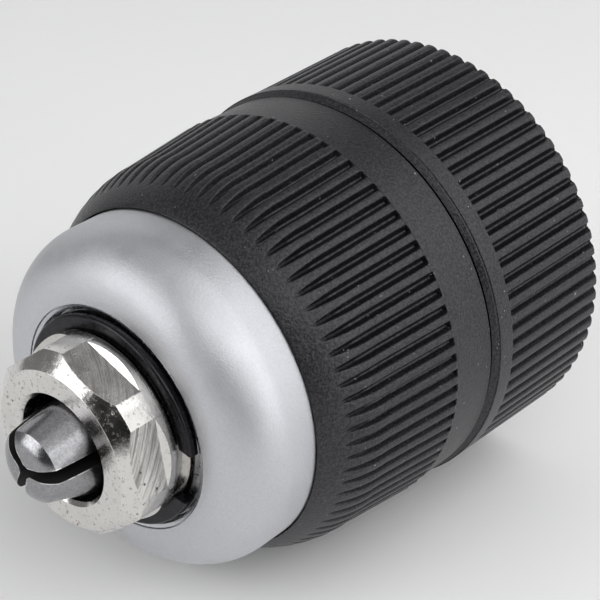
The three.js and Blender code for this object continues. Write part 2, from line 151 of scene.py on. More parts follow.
def arc(radius, station, size, first, last, steps):
    """Points on an arc of a profile, in degrees: 0 points outwards, 90 to the nose."""
    angles = np.radians(np.linspace(first, last, steps + 1))
    return [(radius + size * math.cos(a), station + size * math.sin(a)) for a in angles]


def on_cone(along, height):
    """Radius and station of a point in a jaw's plane, from its distance along the jaw and height above it."""
    start = JAW_APEX / math.cos(JAW_TILT)
    return (
        (start - along) * math.sin(JAW_TILT) + height * math.cos(JAW_TILT),
        along * math.cos(JAW_TILT) + height * math.sin(JAW_TILT),
    )


def cone_radius(station, height):
    """Radius, at a station, of the cone that lies at a height above the jaws' axes."""
    return (JAW_APEX - station) * math.tan(JAW_TILT) + height / math.cos(JAW_TILT)


# ---------------------------------------------------------------- meshes
def new_object(name, data):
    """An object in the scene, over a mesh, a lamp or a camera."""
    made = bpy.data.objects.new(name, data)
    bpy.context.scene.collection.objects.link(made)
    return made


def skin(name, rings, closed=True):
    """An object over a grid of points, rows by columns by xyz. Rows close on each other if closed."""
    rows, columns, _ = rings.shape
    index = np.arange(rows * columns).reshape(rows, columns)
    below = index if closed else index[:-1]
    above = np.roll(index, -1, axis=0) if closed else index[1:]
    quads = np.stack([below, np.roll(below, -1, 1), np.roll(above, -1, 1), above], -1).reshape(-1, 4)
    mesh = bpy.data.meshes.new(name)
    mesh.from_pydata(rings.reshape(-1, 3).tolist(), [], quads.tolist())
    clean(mesh)
    return new_object(name, mesh)


def clean(mesh):
    """Merges points that coincide and turns every face outwards."""
    work = bmesh.new()
    work.from_mesh(mesh)
    bmesh.ops.remove_doubles(work, verts=work.verts, dist=1e-5)
    bmesh.ops.recalc_face_normals(work, faces=work.faces)
    work.to_mesh(mesh)
    work.free()


def polar(radius, angle, station):
    """Arrays of radius, angle and station as xyz."""
    return np.stack(np.broadcast_arrays(radius * np.cos(angle), -station, radius * np.sin(angle)), -1)


def lathe(name, profile, segments=192, start=None):
    """A solid of revolution from (radius, station) pairs. A profile off the axis closes on itself."""
    points = np.array(profile, float)
    angle = (PHASE if start is None else start) + np.arange(segments) * 2 * math.pi / segments
    off_axis = points[0, 0] > 0 or points[-1, 0] > 0
    return skin(name, polar(points[:, :1], angle[None, :], points[:, 1:]), closed=off_axis)


def ring_of(name, inner, outer, start, end, fillet, segments=192):
    """A flat ring with rounded edges."""
    corners = [(inner, start, fillet), (outer, start, fillet), (outer, end, fillet), (inner, end, fillet)]
    return lathe(name, rounded(corners), segments)


def cylinder_between(name, radius, start, end, angle, segments=64):
    """A round bar on a jaw's axis, between two stations measured on that axis."""
    off_plane = 0.3  # of a segment, so that no edge lies in the jaw's plane of symmetry
    around = (np.arange(segments) + off_plane) * 2 * math.pi / segments
    radii = np.array([0, radius, radius, 0])[:, None]
    along = np.array([start, start, end, end])[:, None] / math.cos(JAW_TILT)
    height = radii * np.cos(around)[None, :]
    side = radii * np.sin(around)[None, :]
    radial, station = on_cone(along, height)
    cos, sin = math.cos(angle), math.sin(angle)
    points = np.stack([radial * cos - side * sin, -station, radial * sin + side * cos], -1)
    return skin(name, points, closed=False)


def box_piece(name, width, length, height, centre, angle):
    """A block made at angle 0, its outward side at +X, then turned about the chuck's axis."""
    mesh = bpy.data.meshes.new(name)
    work = bmesh.new()
    bmesh.ops.create_cube(work, size=1)
    work.transform(Matrix.Translation(Vector(centre)) @ Matrix.Diagonal((width, length, height, 1)))
    work.transform(Matrix.Rotation(-angle, 4, "Y"))
    work.to_mesh(mesh)
    work.free()
    return new_object(name, mesh)


def prism(name, near, far, angle):
    """A solid between two four-sided faces, made at angle 0 and turned about the chuck's axis."""
    mesh = bpy.data.meshes.new(name)
    sides = [(i, (i + 1) % 4, 4 + (i + 1) % 4, 4 + i) for i in range(4)]
    mesh.from_pydata(near + far, [], [(3, 2, 1, 0), (4, 5, 6, 7), *sides])
    clean(mesh)
    mesh.transform(Matrix.Rotation(-angle, 4, "Y"))
    return new_object(name, mesh)


def applied(piece):
    """The piece, with its modifiers made part of its mesh."""
    graph = bpy.context.evaluated_depsgraph_get()
    result = bpy.data.meshes.new_from_object(piece.evaluated_get(graph))
    piece.modifiers.clear()
    piece.data = result
    return piece


def combine(piece, tools, operation):
    """Cuts the tools from the piece, or keeps or adds what they hold, and removes them."""
    for tool in tools:
        step = piece.modifiers.new("step", "BOOLEAN")
        step.operation = operation
        step.solver = "EXACT"
        step.object = tool
    applied(piece)
    for tool in tools:
        bpy.data.objects.remove(tool)
    return piece


def soften(piece, width, over_angle):
    """Rounds the edges at which faces meet at more than an angle in degrees."""
    step = piece.modifiers.new("edges", "BEVEL")
    step.width = width
    step.segments = 2
    step.limit_method = "ANGLE"
    step.angle_limit = math.radians(over_angle)
    return applied(piece)


def shade(piece, sharp_angle):
    """Smooth faces, with an edge kept sharp where its faces meet at more than the angle in degrees."""
    work = bmesh.new()
    work.from_mesh(piece.data)
    limit = math.radians(sharp_angle)
    for face in work.faces:
        face.smooth = True
    for edge in work.edges:
        edge.smooth = edge.calc_face_angle(0) < limit
    work.to_mesh(piece.data)
    work.free()
    step = piece.modifiers.new("normals", "WEIGHTED_NORMAL")
    step.keep_sharp = True
    applied(piece)


def seat(piece, body, nodes, material, sharp_angle=32):
    """Brings a piece that was made in millimetres to metres, and puts it in place of its CAD nodes."""
    shade(piece, sharp_angle)
    piece.data.transform(Matrix.Scale(MM, 4))
    piece.data.materials.clear()
    piece.data.materials.append(material)
    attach(piece, body)
    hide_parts(*nodes)
    return piece


# ---------------------------------------------------------------- sleeves
# Columns across one rib pitch: shares of the groove's half width, then of the way to the rib's middle.
IN_GROOVE = np.array([0, 0.11, 0.2, 0.32, 0.55, 0.76, 0.88, 0.95, 1.0])
ON_RIB = np.array([0.06, 0.14, 0.34, 1.0])
WALL_SLOPE = math.tan(math.radians(64))
FLOOR_WIDTH = 0.32
LIP_ROUNDING = 0.16  # of the edges between a groove and its ribs
CROWN = 0.08  # how much lower a rib is at its sides than in its middle


def groove_half_width(depth):
    """Half the width of a groove at its top. Shallow grooves have narrower floors."""
    return FLOOR_WIDTH / 2 * min(1, 4 * depth / RIB_DEPTH) + depth / WALL_SLOPE + 1e-3


def groove_row(base, depth, half_width):
    """Offsets from the groove's middle, in angle, and depths of one row's columns over one pitch."""
    pitch = 2 * math.pi * base / RIB_COUNT
    across = np.concatenate([IN_GROOVE * half_width, half_width + ON_RIB * (pitch / 2 - half_width)])
    wall = (half_width - across) * WALL_SLOPE
    lip = min(LIP_ROUNDING, depth / 3)
    floor_rounding = depth / 4
    wall = (wall + np.sqrt(wall ** 2 + lip ** 2)) / 2
    depths = (wall + depth - np.sqrt((wall - depth) ** 2 + floor_rounding ** 2)) / 2
    depths = np.maximum(depths, 0) * (across < pitch / 2)
    crown = CROWN * min(1, 3 * depth / RIB_DEPTH)
    depths += crown * (1 - across / (pitch / 2)) ** 2
    offsets = across / base
    return np.concatenate([-offsets[:0:-1], offsets[:-1]]), np.concatenate([depths[:0:-1], depths[:-1]])


def ribbed(name, outside, inside, first_groove):
    """A sleeve, with each point's share of the groove depth kept for the material.

    Outside is rows of (radius, station, groove depth, groove half width). Inside is a plain profile.
    """
    centres = first_groove + np.arange(RIB_COUNT) * 2 * math.pi / RIB_COUNT
    rows, depth_rows = [], []
    for base, station, depth, half_width in outside:
        offsets, depths = groove_row(base, depth, half_width)
        angle = (centres[:, None] + offsets[None, :]).ravel()
        rows.append(polar(base - np.tile(depths, RIB_COUNT), angle, station))
        depth_rows.append(np.tile(depths, RIB_COUNT))
    last_angle = angle
    for radius, station in inside:
        rows.append(polar(radius, last_angle, station))
        depth_rows.append(np.zeros_like(last_angle))
    piece = skin(name, np.array(rows))
    shares = piece.data.attributes.new("groove", "FLOAT", "POINT")
    shares.data.foreach_set("value", np.ravel(depth_rows) / RIB_DEPTH)
    return piece


def rear_sleeve():
    front_radius = REAR_RADIUS - 0.35
    rib_end = REAR_END - 2.5
    edge = 0.55
    hub_hole = 9.82
    web_start, web_end = REAR_START + 0.8, REAR_START + 3.4
    cavity = FLANGE_RADIUS + 0.3
    crest_slope = (REAR_RADIUS - front_radius) / (rib_end - REAR_START)

    def crest(station):
        return REAR_RADIUS - crest_slope * (station - REAR_START)

    rows = []
    for angle in np.linspace(-90, 0, 8):
        station = REAR_START + edge * (1 + math.sin(math.radians(angle)))
        radius = crest(station) - edge * (1 - math.cos(math.radians(angle)))
        depth = max(radius - (crest(station) - RIB_DEPTH), 0)
        rows.append((radius, station, depth, groove_half_width(depth)))
    full = groove_half_width(RIB_DEPTH)
    for station in np.linspace(REAR_START + 2, rib_end - 0.45, 4):
        rows.append((crest(station), station, RIB_DEPTH, full))
    run_out = [(0.28, 0.97, 1), (0.16, 0.86, 0.99), (0.07, 0.64, 0.94), (0.02, 0.34, 0.84), (0, 0, 0.7)]
    for back, depth_share, width_share in run_out:
        rows.append((crest(rib_end - back), rib_end - back, RIB_DEPTH * depth_share, full * width_share))
    band = [
        (front_radius, rib_end + 0.3),
        (front_radius, REAR_END - 0.66),
        (front_radius - 0.03, REAR_END - 0.6),
        (front_radius - 0.14, REAR_END - 0.58),
        (front_radius - 0.16, REAR_END - 0.5),
        (front_radius - 0.2, REAR_END - 0.42),
        (front_radius - 0.54, REAR_END - 0.08),
        (front_radius - 0.62, REAR_END),
    ]
    rows += [(radius, station, 0, full * 0.7) for radius, station in band]
    inside = rounded([
        (cavity, REAR_END, 0.2),
        (cavity, web_end, 0),
        (hub_hole, web_end, 0),
        (hub_hole, web_start, 0.15),
        (REAR_RADIUS - 2, web_start, 0.5),
        (REAR_RADIUS - 1.45, REAR_START, 0.3),
    ])
    return ribbed("rear_sleeve_shell", rows, inside, PHASE - math.radians(6.4))


def front_sleeve():
    collar_radius = FRONT_RADIUS - 0.12
    collar_end = FRONT_START + 5.25
    rib_start = collar_end + 0.25
    groove_end = FRONT_END - 1.87
    taper = 4.6  # length over which the grooves run out
    shoulder = 32
    drop = 0.85  # of the radius, from the collar to the shoulder
    curve = 10.5
    curve_centre = FRONT_RADIUS - drop - curve
    cavity = FLANGE_RADIUS + 0.3
    band_room = BAND_RADIUS + 0.3
    full = groove_half_width(RIB_DEPTH)

    def base(station):
        if station < shoulder:
            return FRONT_RADIUS - drop * (station - rib_start) / (shoulder - rib_start)
        return curve_centre + math.sqrt(curve ** 2 - (station - shoulder) ** 2)

    edge = [(collar_radius - 0.12, FRONT_START), (collar_radius - 0.035, FRONT_START + 0.035)]
    edge += [(collar_radius, FRONT_START + 0.12), (collar_radius, (FRONT_START + collar_end) / 2)]
    edge += [(collar_radius, collar_end - 0.06), (collar_radius, collar_end)]
    rows = [(radius, station, 0, full * 0.9) for radius, station in edge]
    floor = FRONT_RADIUS - RIB_DEPTH
    for rise, depth_share in ((0.25, 0.5), (0.6, 0.9), (0.9, 1)):
        radius = collar_radius + (FRONT_RADIUS - collar_radius) * rise
        rows.append((radius, collar_end + 0.25 * rise, (radius - floor) * depth_share, full))
    straight, curved = np.linspace(rib_start + 0.12, shoulder, 3), np.linspace(shoulder + 0.4, groove_end, 17)
    for station in (*straight, *curved):
        share = min(1, (groove_end - station) / taper)
        depth = RIB_DEPTH * (1 - (1 - share) ** 1.8)
        rows.append((base(station), station, depth, groove_half_width(depth)))
    for station in np.linspace(groove_end + 0.15, FRONT_END - 0.12, 5):
        rows.append((base(station), station, 0, 0.05))
    rows.append((base(FRONT_END) - 0.02, FRONT_END - 0.03, 0, 0.05))
    inside = rounded([
        (CONE_RADIUS + 0.02, FRONT_END, 0.06),
        (CONE_RADIUS + 0.02, CONE_TAIL - 0.3, 0),
        (band_room, CONE_TAIL - 0.7, 0),
        (band_room, NUT_START - 0.1, 0),
        (cavity, NUT_START - 0.5, 0),
        (cavity, FRONT_START, 0.2),
    ])
    return ribbed("front_sleeve_shell", rows, inside, PHASE)


# ---------------------------------------------------------------- nose cone, washer, ring
CONE_CURVE = 5.3  # radius of the cone's rounded front
CONE_DOME = CONE_RADIUS - CONE_CURVE
CONE_HEM = CONE_DOME - 0.8  # radius of the lip round its opening


def nose_cone():
    wall = 1.0
    top = CONE_FRONT - 0.16
    curve_station = top - CONE_CURVE
    flange_inner = 9.35
    flange_front = WASHER_START - 0.02
    flange_back = flange_front - 1.13
    crease = [(0.31, -0.01), (0.28, -0.04), (0.26, -0.22), (0.2, -0.22), (0.18, -0.1)]
    lip = [(0.15, -0.06), (-0.14, -0.16), (-0.19, -0.2), (-0.22, -0.28), (-0.23, -0.45)]
    outside = [
        (CONE_RADIUS, CONE_TAIL),
        (CONE_RADIUS, FRONT_END - 1),
        (CONE_RADIUS, FRONT_END + 0.5),
        *arc(CONE_DOME, curve_station, CONE_CURVE, 0, 90, 40),
        *[(CONE_HEM + across, top + along) for across, along in crease + lip],
        (CONE_HEM - 0.23, flange_front + 0.1),
        (CONE_HEM - 0.3, flange_front),
    ]
    inside = [
        (flange_inner, flange_front),
        (flange_inner, flange_back),
        (CONE_DOME - 0.5, flange_back),
        *arc(CONE_DOME, curve_station, CONE_CURVE - wall, 80, 0, 12),
        (CONE_RADIUS - wall, CONE_TAIL),
    ]
    return lathe("nose_cone_shell", outside + inside, 256)


def nose_washer():
    return ring_of("nose_washer_ring", 9.5, WASHER_RADIUS, WASHER_START, WASHER_END, 0.08)


def snap_ring():
    inner = 9.0
    whole = lathe("snap_ring_wire", rounded([
        (inner, RING_START, 0.05),
        (RING_RADIUS, RING_START, 0.1),
        (RING_RADIUS, RING_END, 0.28),
        (inner, RING_END, 0.12),
    ]), 256)
    gap_width = 5.6
    gap_angle = math.radians(-10)
    middle = (RING_START + RING_END) / 2
    gap = box_piece("gap", 11, 3, gap_width, (1.2 * RING_RADIUS, -middle, 0), gap_angle)
    return combine(whole, [gap], "DIFFERENCE")


# ---------------------------------------------------------------- chuck body
NOSE_RADIUS = 9.2
NOSE_FACE_RADIUS = 7.77
NOSE_BORE = 5.24
FLAT_DISTANCE = 8.55
FLAT_START = NOSE_FACE - 4.2
FLAT_COUNT = 6
HUB_RADIUS = 9.8
SOCKET_DEPTH = 14.5
SOCKET_RADIUS = 4.55  # core of the 3/8-24 thread
SOCKET_PITCH = 25.4 / 24
CAVITY_FLOOR = 22


def body_turning():
    """The turned blank of the body, before its bores and flats."""
    column = 12.6
    seat_radius = 14.4
    under_nut = 2.1
    cone_start = NUT_START - 0.3
    cone_end = NUT_END + 1.2
    groove_start, groove_end = RING_START - 0.15, RING_END + 0.15
    chamfer = NOSE_RADIUS - NOSE_FACE_RADIUS
    flange_front = REAR_RACE_START - 0.3
    profile = rounded([
        (0, 0, 0),
        (HUB_RADIUS, 0, 0.45),
        (HUB_RADIUS, 4.6, 0),
        (column, 4.6, 0),
        (column, flange_front - 4.1, 0),
        (FLANGE_RADIUS, flange_front - 2.8, 0.2),
        (FLANGE_RADIUS, flange_front, 0.2),
        (seat_radius, flange_front, 0),
        (seat_radius, NUT_START - 0.7, 0),
        (cone_radius(cone_start, under_nut), cone_start, 0),
        (cone_radius(cone_end, under_nut), cone_end, 0),
        (column, cone_end + 0.5, 0.2),
        (column, 37.5, 0.3),
        (NOSE_RADIUS, 43.8, 0),
        (NOSE_RADIUS, groove_start, 0),
        (NOSE_RADIUS - 0.5, groove_start, 0),
        (NOSE_RADIUS - 0.5, groove_end, 0),
        (NOSE_RADIUS, groove_end + 0.12, 0.28),
        (NOSE_RADIUS, NOSE_FACE - chamfer, 0.12),
        (NOSE_FACE_RADIUS, NOSE_FACE, 0.1),
        (0, NOSE_FACE, 0),
    ])
    return lathe("chuck_body_metal", profile, 240)


def flat_cutter(angle):
    """Cuts one spanner flat. Its rear end slopes, as the milling cutter leaves it."""
    outer = NOSE_RADIUS + 2
    slope = 0.7
    corners = [
        (FLAT_DISTANCE, FLAT_START),
        (outer, FLAT_START - slope * (outer - FLAT_DISTANCE)),
        (outer, NOSE_FACE + 1),
        (FLAT_DISTANCE, NOSE_FACE + 1),
    ]
    near = [(x, -station, -NOSE_RADIUS) for x, station in corners]
    far = [(x, -station, NOSE_RADIUS) for x, station in corners]
    return prism("flat", near, far, angle)


def threaded_socket():
    """A cutter for the spindle socket: a countersunk bore with its internal thread, and the screw's hole."""
    segments = 72
    steps = 8  # rows in one pitch
    thread_height = 0.45
    screw_hole = 3.0
    start, end = 1.0, SOCKET_DEPTH - 1.2
    stations = np.arange(start, end, SOCKET_PITCH / steps)
    angle = np.arange(segments) * 2 * math.pi / segments
    turn = stations[:, None] / SOCKET_PITCH + angle[None, :] / (2 * math.pi)
    wave = np.abs((turn % 1) * 2 - 1)
    fade = np.clip(np.minimum(stations - start, end - stations) / SOCKET_PITCH, 0, 1)[:, None]
    crest = np.clip(wave * 1.3 - 0.15, 0, 1)
    thread = polar(SOCKET_RADIUS + thread_height * crest * fade, angle[None, :], stations[:, None])
    mouth = [(0, -1), (SOCKET_RADIUS + 1.8, -1), (SOCKET_RADIUS, 0.8)]
    tail = [
        (SOCKET_RADIUS, SOCKET_DEPTH),
        (screw_hole, SOCKET_DEPTH + 1),
        (screw_hole, CAVITY_FLOOR + 1),
        (0, CAVITY_FLOOR + 1),
    ]
    mouth, tail = ([polar(radius, angle, station)[None] for radius, station in part] for part in (mouth, tail))
    return skin("socket", np.concatenate([*mouth, thread, *tail]), closed=False)


def shank_bore():
    chamfer = 0.35
    return lathe("bore", [
        (0, CAVITY_FLOOR - 1.5),
        (NOSE_BORE, CAVITY_FLOOR),
        (NOSE_BORE, NOSE_FACE - chamfer - 0.06),
        (NOSE_BORE + 0.03, NOSE_FACE - chamfer + 0.03),
        (NOSE_BORE + 2 * chamfer, NOSE_FACE + chamfer),
        (0, NOSE_FACE + chamfer),
    ], 96, OFF_PLANE)


def chuck_body():
    bore_radius = JAW_RADIUS + 0.25
    bores = [cylinder_between("jaw_bore", bore_radius, 7, JAW_APEX + 2, angle) for angle, _ in JAWS]
    flats = [flat_cutter(PHASE + i * 2 * math.pi / FLAT_COUNT) for i in range(FLAT_COUNT)]
    return combine(body_turning(), [*flats, *bores, threaded_socket(), shank_bore()], "DIFFERENCE")


# ---------------------------------------------------------------- jaws
GRIP_HALF_ANGLE = math.radians(60 - 4)  # of the wedge between a jaw's two gripping faces
GRIP_EDGE = 0.4 / math.sin(math.radians(60))  # where those faces would meet
GRIP_BLUNT = 0.3  # length of that edge that is ground off
JAW_THREAD_DEPTH = 1.0
JAW_THREAD_FLOOR, JAW_THREAD_MOUTH = 0.9, 1.4  # widths of a groove
OFF_PLANE = 0.023  # start angle that keeps the edges of two combined pieces from falling together


def gripping_wedge(angle):
    """The space between a jaw's two gripping faces."""
    far = 60
    cos, sin = math.cos(GRIP_HALF_ANGLE), math.sin(GRIP_HALF_ANGLE)
    ends = ((-1, GRIP_BLUNT), (-1, far), (1, far), (1, GRIP_BLUNT))
    corners = [(GRIP_EDGE + along * cos, side * along * sin) for side, along in ends]
    ahead = [(x, -2 * far, z) for x, z in corners]
    behind = [(x, far, z) for x, z in corners]
    return prism("wedge", ahead, behind, angle)


def jaw_envelope():
    """The closed jaws' common outline: a rounded tip, and free space behind it."""
    start = JAW_TIP - JAW_TIP_ROUNDING
    back = 60
    tip = [
        (JAW_TIP_FLAT + (JAW_TIP_RADIUS - JAW_TIP_FLAT) * share, JAW_TIP - JAW_TIP_ROUNDING * share ** 2)
        for share in np.linspace(1, 0, 8)
    ]
    return lathe("envelope", [
        (0, start - back),
        (JAW_TIP_RADIUS + back * math.tan(JAW_TILT), start - back),
        *tip,
        (0, JAW_TIP),
    ], 96, OFF_PLANE)


def thread_cutters(angle):
    """One ring cutter for each groove that crosses a jaw."""
    first = NUT_START / math.cos(JAW_TILT) + THREAD_PITCH * (angle % (2 * math.pi)) / (2 * math.pi)
    rear = (JAW_REAR + 1) / math.cos(JAW_TILT)
    front = (NOSE_FACE - 6) / math.cos(JAW_TILT)
    bottom, above = JAW_RADIUS - JAW_THREAD_DEPTH, JAW_RADIUS + 1
    half, mouth = JAW_THREAD_FLOOR / 2, JAW_THREAD_MOUTH / 2
    right = [(half, bottom), (mouth, JAW_RADIUS), (mouth, above)]
    groove = [(-half, bottom), *right, (-mouth, above), (-mouth, JAW_RADIUS)]
    cutters = []
    for along in np.arange(first, front, THREAD_PITCH):
        if along < rear - THREAD_PITCH / 2:
            continue
        profile = [on_cone(along + shift, height) for shift, height in groove]
        cutters.append(lathe("groove", profile, 90, OFF_PLANE * (1 + 0.31 * len(cutters))))
    return cutters


def jaw(number, angle):
    bar = cylinder_between(f"jaw_{number}_bar", JAW_RADIUS, JAW_REAR + 1, JAW_APEX + JAW_RADIUS, angle, 96)
    combine(bar, [gripping_wedge(angle), jaw_envelope()], "INTERSECT")
    combine(bar, thread_cutters(angle), "DIFFERENCE")
    return soften(bar, 0.1, 40)


# ---------------------------------------------------------------- nut, band and bearing
def nut_ridge():
    """The thread inside the nut: a bar wound into a tapering helix."""
    per_turn = 72
    turns = (NUT_END - NUT_START) / (THREAD_PITCH * math.cos(JAW_TILT)) + 2
    angle = OFF_PLANE + np.arange(int(turns * per_turn)) * 2 * math.pi / per_turn - 2 * math.pi
    along = NUT_START / math.cos(JAW_TILT) + THREAD_PITCH * angle / (2 * math.pi)
    crest, root = JAW_RADIUS - 0.6, JAW_RADIUS + 0.9
    corners = [(-0.35, crest), (0.35, crest), (0.7, root), (-0.7, root)]
    rings = []
    for shift, height in corners:
        radius, station = on_cone(along + shift, height)
        rings.append(polar(radius, angle, station))
    grid = np.array(rings).transpose(1, 0, 2)
    first, last = grid[0].mean(0), grid[-1].mean(0)
    grid = np.concatenate([np.tile(first, (1, 4, 1)), grid, np.tile(last, (1, 4, 1))])
    return skin("ridge", grid, closed=False)


def nut_half(name, side):
    root = JAW_RADIUS + 0.45
    corners = [
        (cone_radius(NUT_START, root), NUT_START, 0),
        (NUT_RADIUS, NUT_START, 0.3),
        (NUT_RADIUS, NUT_END - 1, 0.1),
        (NUT_RADIUS - 1, NUT_END, 0.1),
        (cone_radius(NUT_END, root), NUT_END, 0),
    ]
    inset = 0.03
    start, end, outer = NUT_START + inset, NUT_END - inset, NUT_RADIUS - 1.5
    whole = lathe(name, rounded(corners), 144, OFF_PLANE * 1.7)
    between = lathe("between", [(0, start), (outer, start), (outer, end), (0, end)], 90, OFF_PLANE * 2.3)
    thread = combine(nut_ridge(), [between], "INTERSECT")
    combine(whole, [thread], "UNION")
    split = 0.15  # half the gap between the halves
    half_space = box_piece("half", 60, 160, 120, (side * (30 + split), 0, 0), PHASE)
    return combine(whole, [half_space], "INTERSECT")


def nut_band():
    inner = NUT_RADIUS + 0.05
    wall = BAND_RADIUS - NUT_RADIUS - 0.3
    lip = BAND_END - wall
    return lathe("nut_band_ring", rounded([
        (inner, BAND_START, 0.1),
        (BAND_RADIUS, BAND_START, 0.2),
        (BAND_RADIUS, BAND_END, 0.45),
        (NUT_RADIUS - 2, BAND_END, 0.2),
        (NUT_RADIUS - 2, lip, 0.2),
        (inner, lip, 0),
    ]))


def race(name, inner, back, face):
    """A bearing race with a round running groove in its face."""
    side = 1 if face > back else -1
    groove_radius, half_width = 1.2, 0.85
    edge = math.asin(half_width / groove_radius)
    groove = [
        (BALL_CIRCLE + groove_radius * math.sin(a), face - side * (groove_radius * math.cos(a) - 0.85))
        for a in np.linspace(edge, -edge, 9)
    ]
    fillet = 0.12
    profile = rounded([(inner, back, fillet), (RACE_RADIUS, back, fillet), (RACE_RADIUS, face, fillet)]
                      + [(r, s, 0) for r, s in groove] + [(inner, face, fillet)])
    return lathe(name, profile)


def ball(name, angle):
    """A bearing ball, rounded from a subdivided cube so that its faces are even."""
    mesh = bpy.data.meshes.new(name)
    work = bmesh.new()
    bmesh.ops.create_cube(work, size=1)
    bmesh.ops.subdivide_edges(work, edges=work.edges, cuts=11, use_grid_fill=True)
    for vertex in work.verts:
        vertex.co = vertex.co.normalized() * BALL_RADIUS
    centre = (BALL_CIRCLE * math.cos(angle), -BALL_STATION, BALL_CIRCLE * math.sin(angle))
    work.transform(Matrix.Translation(Vector(centre)))
    work.to_mesh(mesh)
    work.free()
    return new_object(name, mesh)


def ball_cage():
    """A plate with one hole for each ball."""
    thickness = 0.8
    start = BALL_STATION - thickness / 2
    end = start + thickness
    _, _, outer = reach("ball_cage")
    plate = ring_of("ball_cage_plate", 14.95, outer, start, end, 0.12)
    hole = BALL_RADIUS + 0.15
    around = np.arange(48) * 2 * math.pi / 48
    holes = []
    for i in range(BALL_COUNT):
        angle = PHASE + i * 2 * math.pi / BALL_COUNT
        cos, sin = math.cos(angle), math.sin(angle)
        rings = []
        for radius, station in ((0, start - 1), (hole, start - 1), (hole, end + 1), (0, end + 1)):
            x = BALL_CIRCLE + radius * np.cos(around)
            z = radius * np.sin(around)
            rings.append(np.stack([x * cos - z * sin, np.full_like(x, -station), x * sin + z * cos], -1))
        holes.append(skin("hole", np.array(rings), closed=False))
    return combine(plate, holes, "DIFFERENCE")


# ---------------------------------------------------------------- materials
def add(tree, kind, inputs, **settings):
    """A node whose inputs, by name or number, are linked from sockets or set to values."""
    node = tree.nodes.new("ShaderNode" + kind)
    for name, value in settings.items():
        setattr(node, name, value)
    for key, value in inputs.items():
        if isinstance(value, bpy.types.NodeSocket):
            tree.links.new(value, node.inputs[key])
        else:
            node.inputs[key].default_value = value
    return node


def new_material(name, metallic, specular=0.5):
    material = bpy.data.materials.new(name)
    material.use_nodes = True
    tree = material.node_tree
    shader = tree.nodes["Principled BSDF"]
    shader.inputs["Metallic"].default_value = metallic
    shader.inputs["Specular IOR Level"].default_value = specular
    place = add(tree, "TexCoord", {}).outputs["Object"]
    return material, tree, shader, place


def noise(tree, place, size, detail=2, roughness=0.5):
    """Noise from 0 to 1 whose features are about a size in millimetres."""
    inputs = {"Vector": place, "Scale": 1 / (size * MM), "Detail": detail, "Roughness": roughness}
    return add(tree, "TexNoise", inputs).outputs["Fac"]


def spread(tree, value, low, high, to_low, to_high):
    """A value from low to high, brought to another range and held inside it."""
    inputs = {0: value, 1: low, 2: high, 3: to_low, 4: to_high}
    return add(tree, "MapRange", inputs, interpolation_type="SMOOTHSTEP").outputs[0]


def maths(tree, operation, first, second=0.0):
    return add(tree, "Math", {0: first, 1: second}, operation=operation).outputs[0]


def blend_colours(tree, share, first, second):
    inputs = {0: share, 6: colour(first), 7: colour(second)}
    return add(tree, "Mix", inputs, data_type="RGBA").outputs[2]


def colour(value):
    """A socket as it is, or red, green and blue with alpha added."""
    return value if isinstance(value, bpy.types.NodeSocket) else (*value, 1)


def specks(tree, place, size, share):
    """Scattered spots, 1 inside and 0 outside. Size is the spacing of the places they may take."""
    cells = add(tree, "TexVoronoi", {"Vector": place, "Scale": 1 / (size * MM)}, feature="F1")
    chosen = spread(tree, noise(tree, place, size * 2.3, 1), 0.72 - share, 0.75 - share, 0, 1)
    spot = spread(tree, cells.outputs["Distance"], 0.16, 0.26, 1, 0)
    return maths(tree, "MULTIPLY", spot, chosen)


def bump(tree, shader, height, depth, strength=1.0, under=None):
    """Adds height, 0 to 1, as relief of a depth in millimetres."""
    inputs = {"Height": height, "Distance": depth * MM, "Strength": strength}
    if under is not None:
        inputs["Normal"] = under
    normal = add(tree, "Bump", inputs).outputs["Normal"]
    tree.links.new(normal, shader.inputs["Normal"])
    return normal


def join(tree, value, socket):
    tree.links.new(value, socket)


def black_plastic():
    """Moulded plastic: fine grain, dust, and painted shade in the grooves, whose walls are given less shine
    than the ribs.
    """
    material, tree, shader, place = new_material("black_plastic", 0.0, 0.6)
    mottle = noise(tree, place, 2.5, 4)
    grain = noise(tree, place, 0.24, 3, 0.65)
    tone = blend_colours(tree, mottle, (0.003, 0.003, 0.0038), (0.0055, 0.0055, 0.007))
    light = maths(tree, "MULTIPLY", spread(tree, grain, 0.45, 0.75, 0, 1), 0.5)
    tone = blend_colours(tree, light, tone, (0.016, 0.016, 0.019))
    dust = maths(tree, "MAXIMUM", specks(tree, place, 0.36, 0.035), specks(tree, place, 0.6, 0.012))
    join(tree, blend_colours(tree, dust, tone, (0.22, 0.22, 0.225)), shader.inputs["Base Color"])
    join(tree, spread(tree, grain, 0.3, 0.7, 0.28, 0.44), shader.inputs["Roughness"])
    matt = spread(tree, noise(tree, place, 0.24, 3, 0.7), 0.35, 0.65, 0.38, 0.76)
    # Painted shade: the specular level of the groove walls is cut, so the grooves read darker.
    groove = add(tree, "Attribute", {}, attribute_name="groove").outputs["Fac"]
    below_rib, above_floor = spread(tree, groove, 0.02, 0.42, 0, 1), spread(tree, groove, 0.88, 0.97, 1, 0.1)
    walls = maths(tree, "MULTIPLY", below_rib, above_floor)
    groove_shade_dimming = maths(tree, "SUBTRACT", 1.0, maths(tree, "MULTIPLY", walls, 0.7))
    join(tree, maths(tree, "MULTIPLY", matt, groove_shade_dimming), shader.inputs["Specular IOR Level"])
    shader.inputs["Specular Tint"].default_value = (0.955, 0.94, 1.0, 1)
    first = bump(tree, shader, grain, 0.07, 0.9)
    bump(tree, shader, dust, 0.03, 0.6, first)
    return material


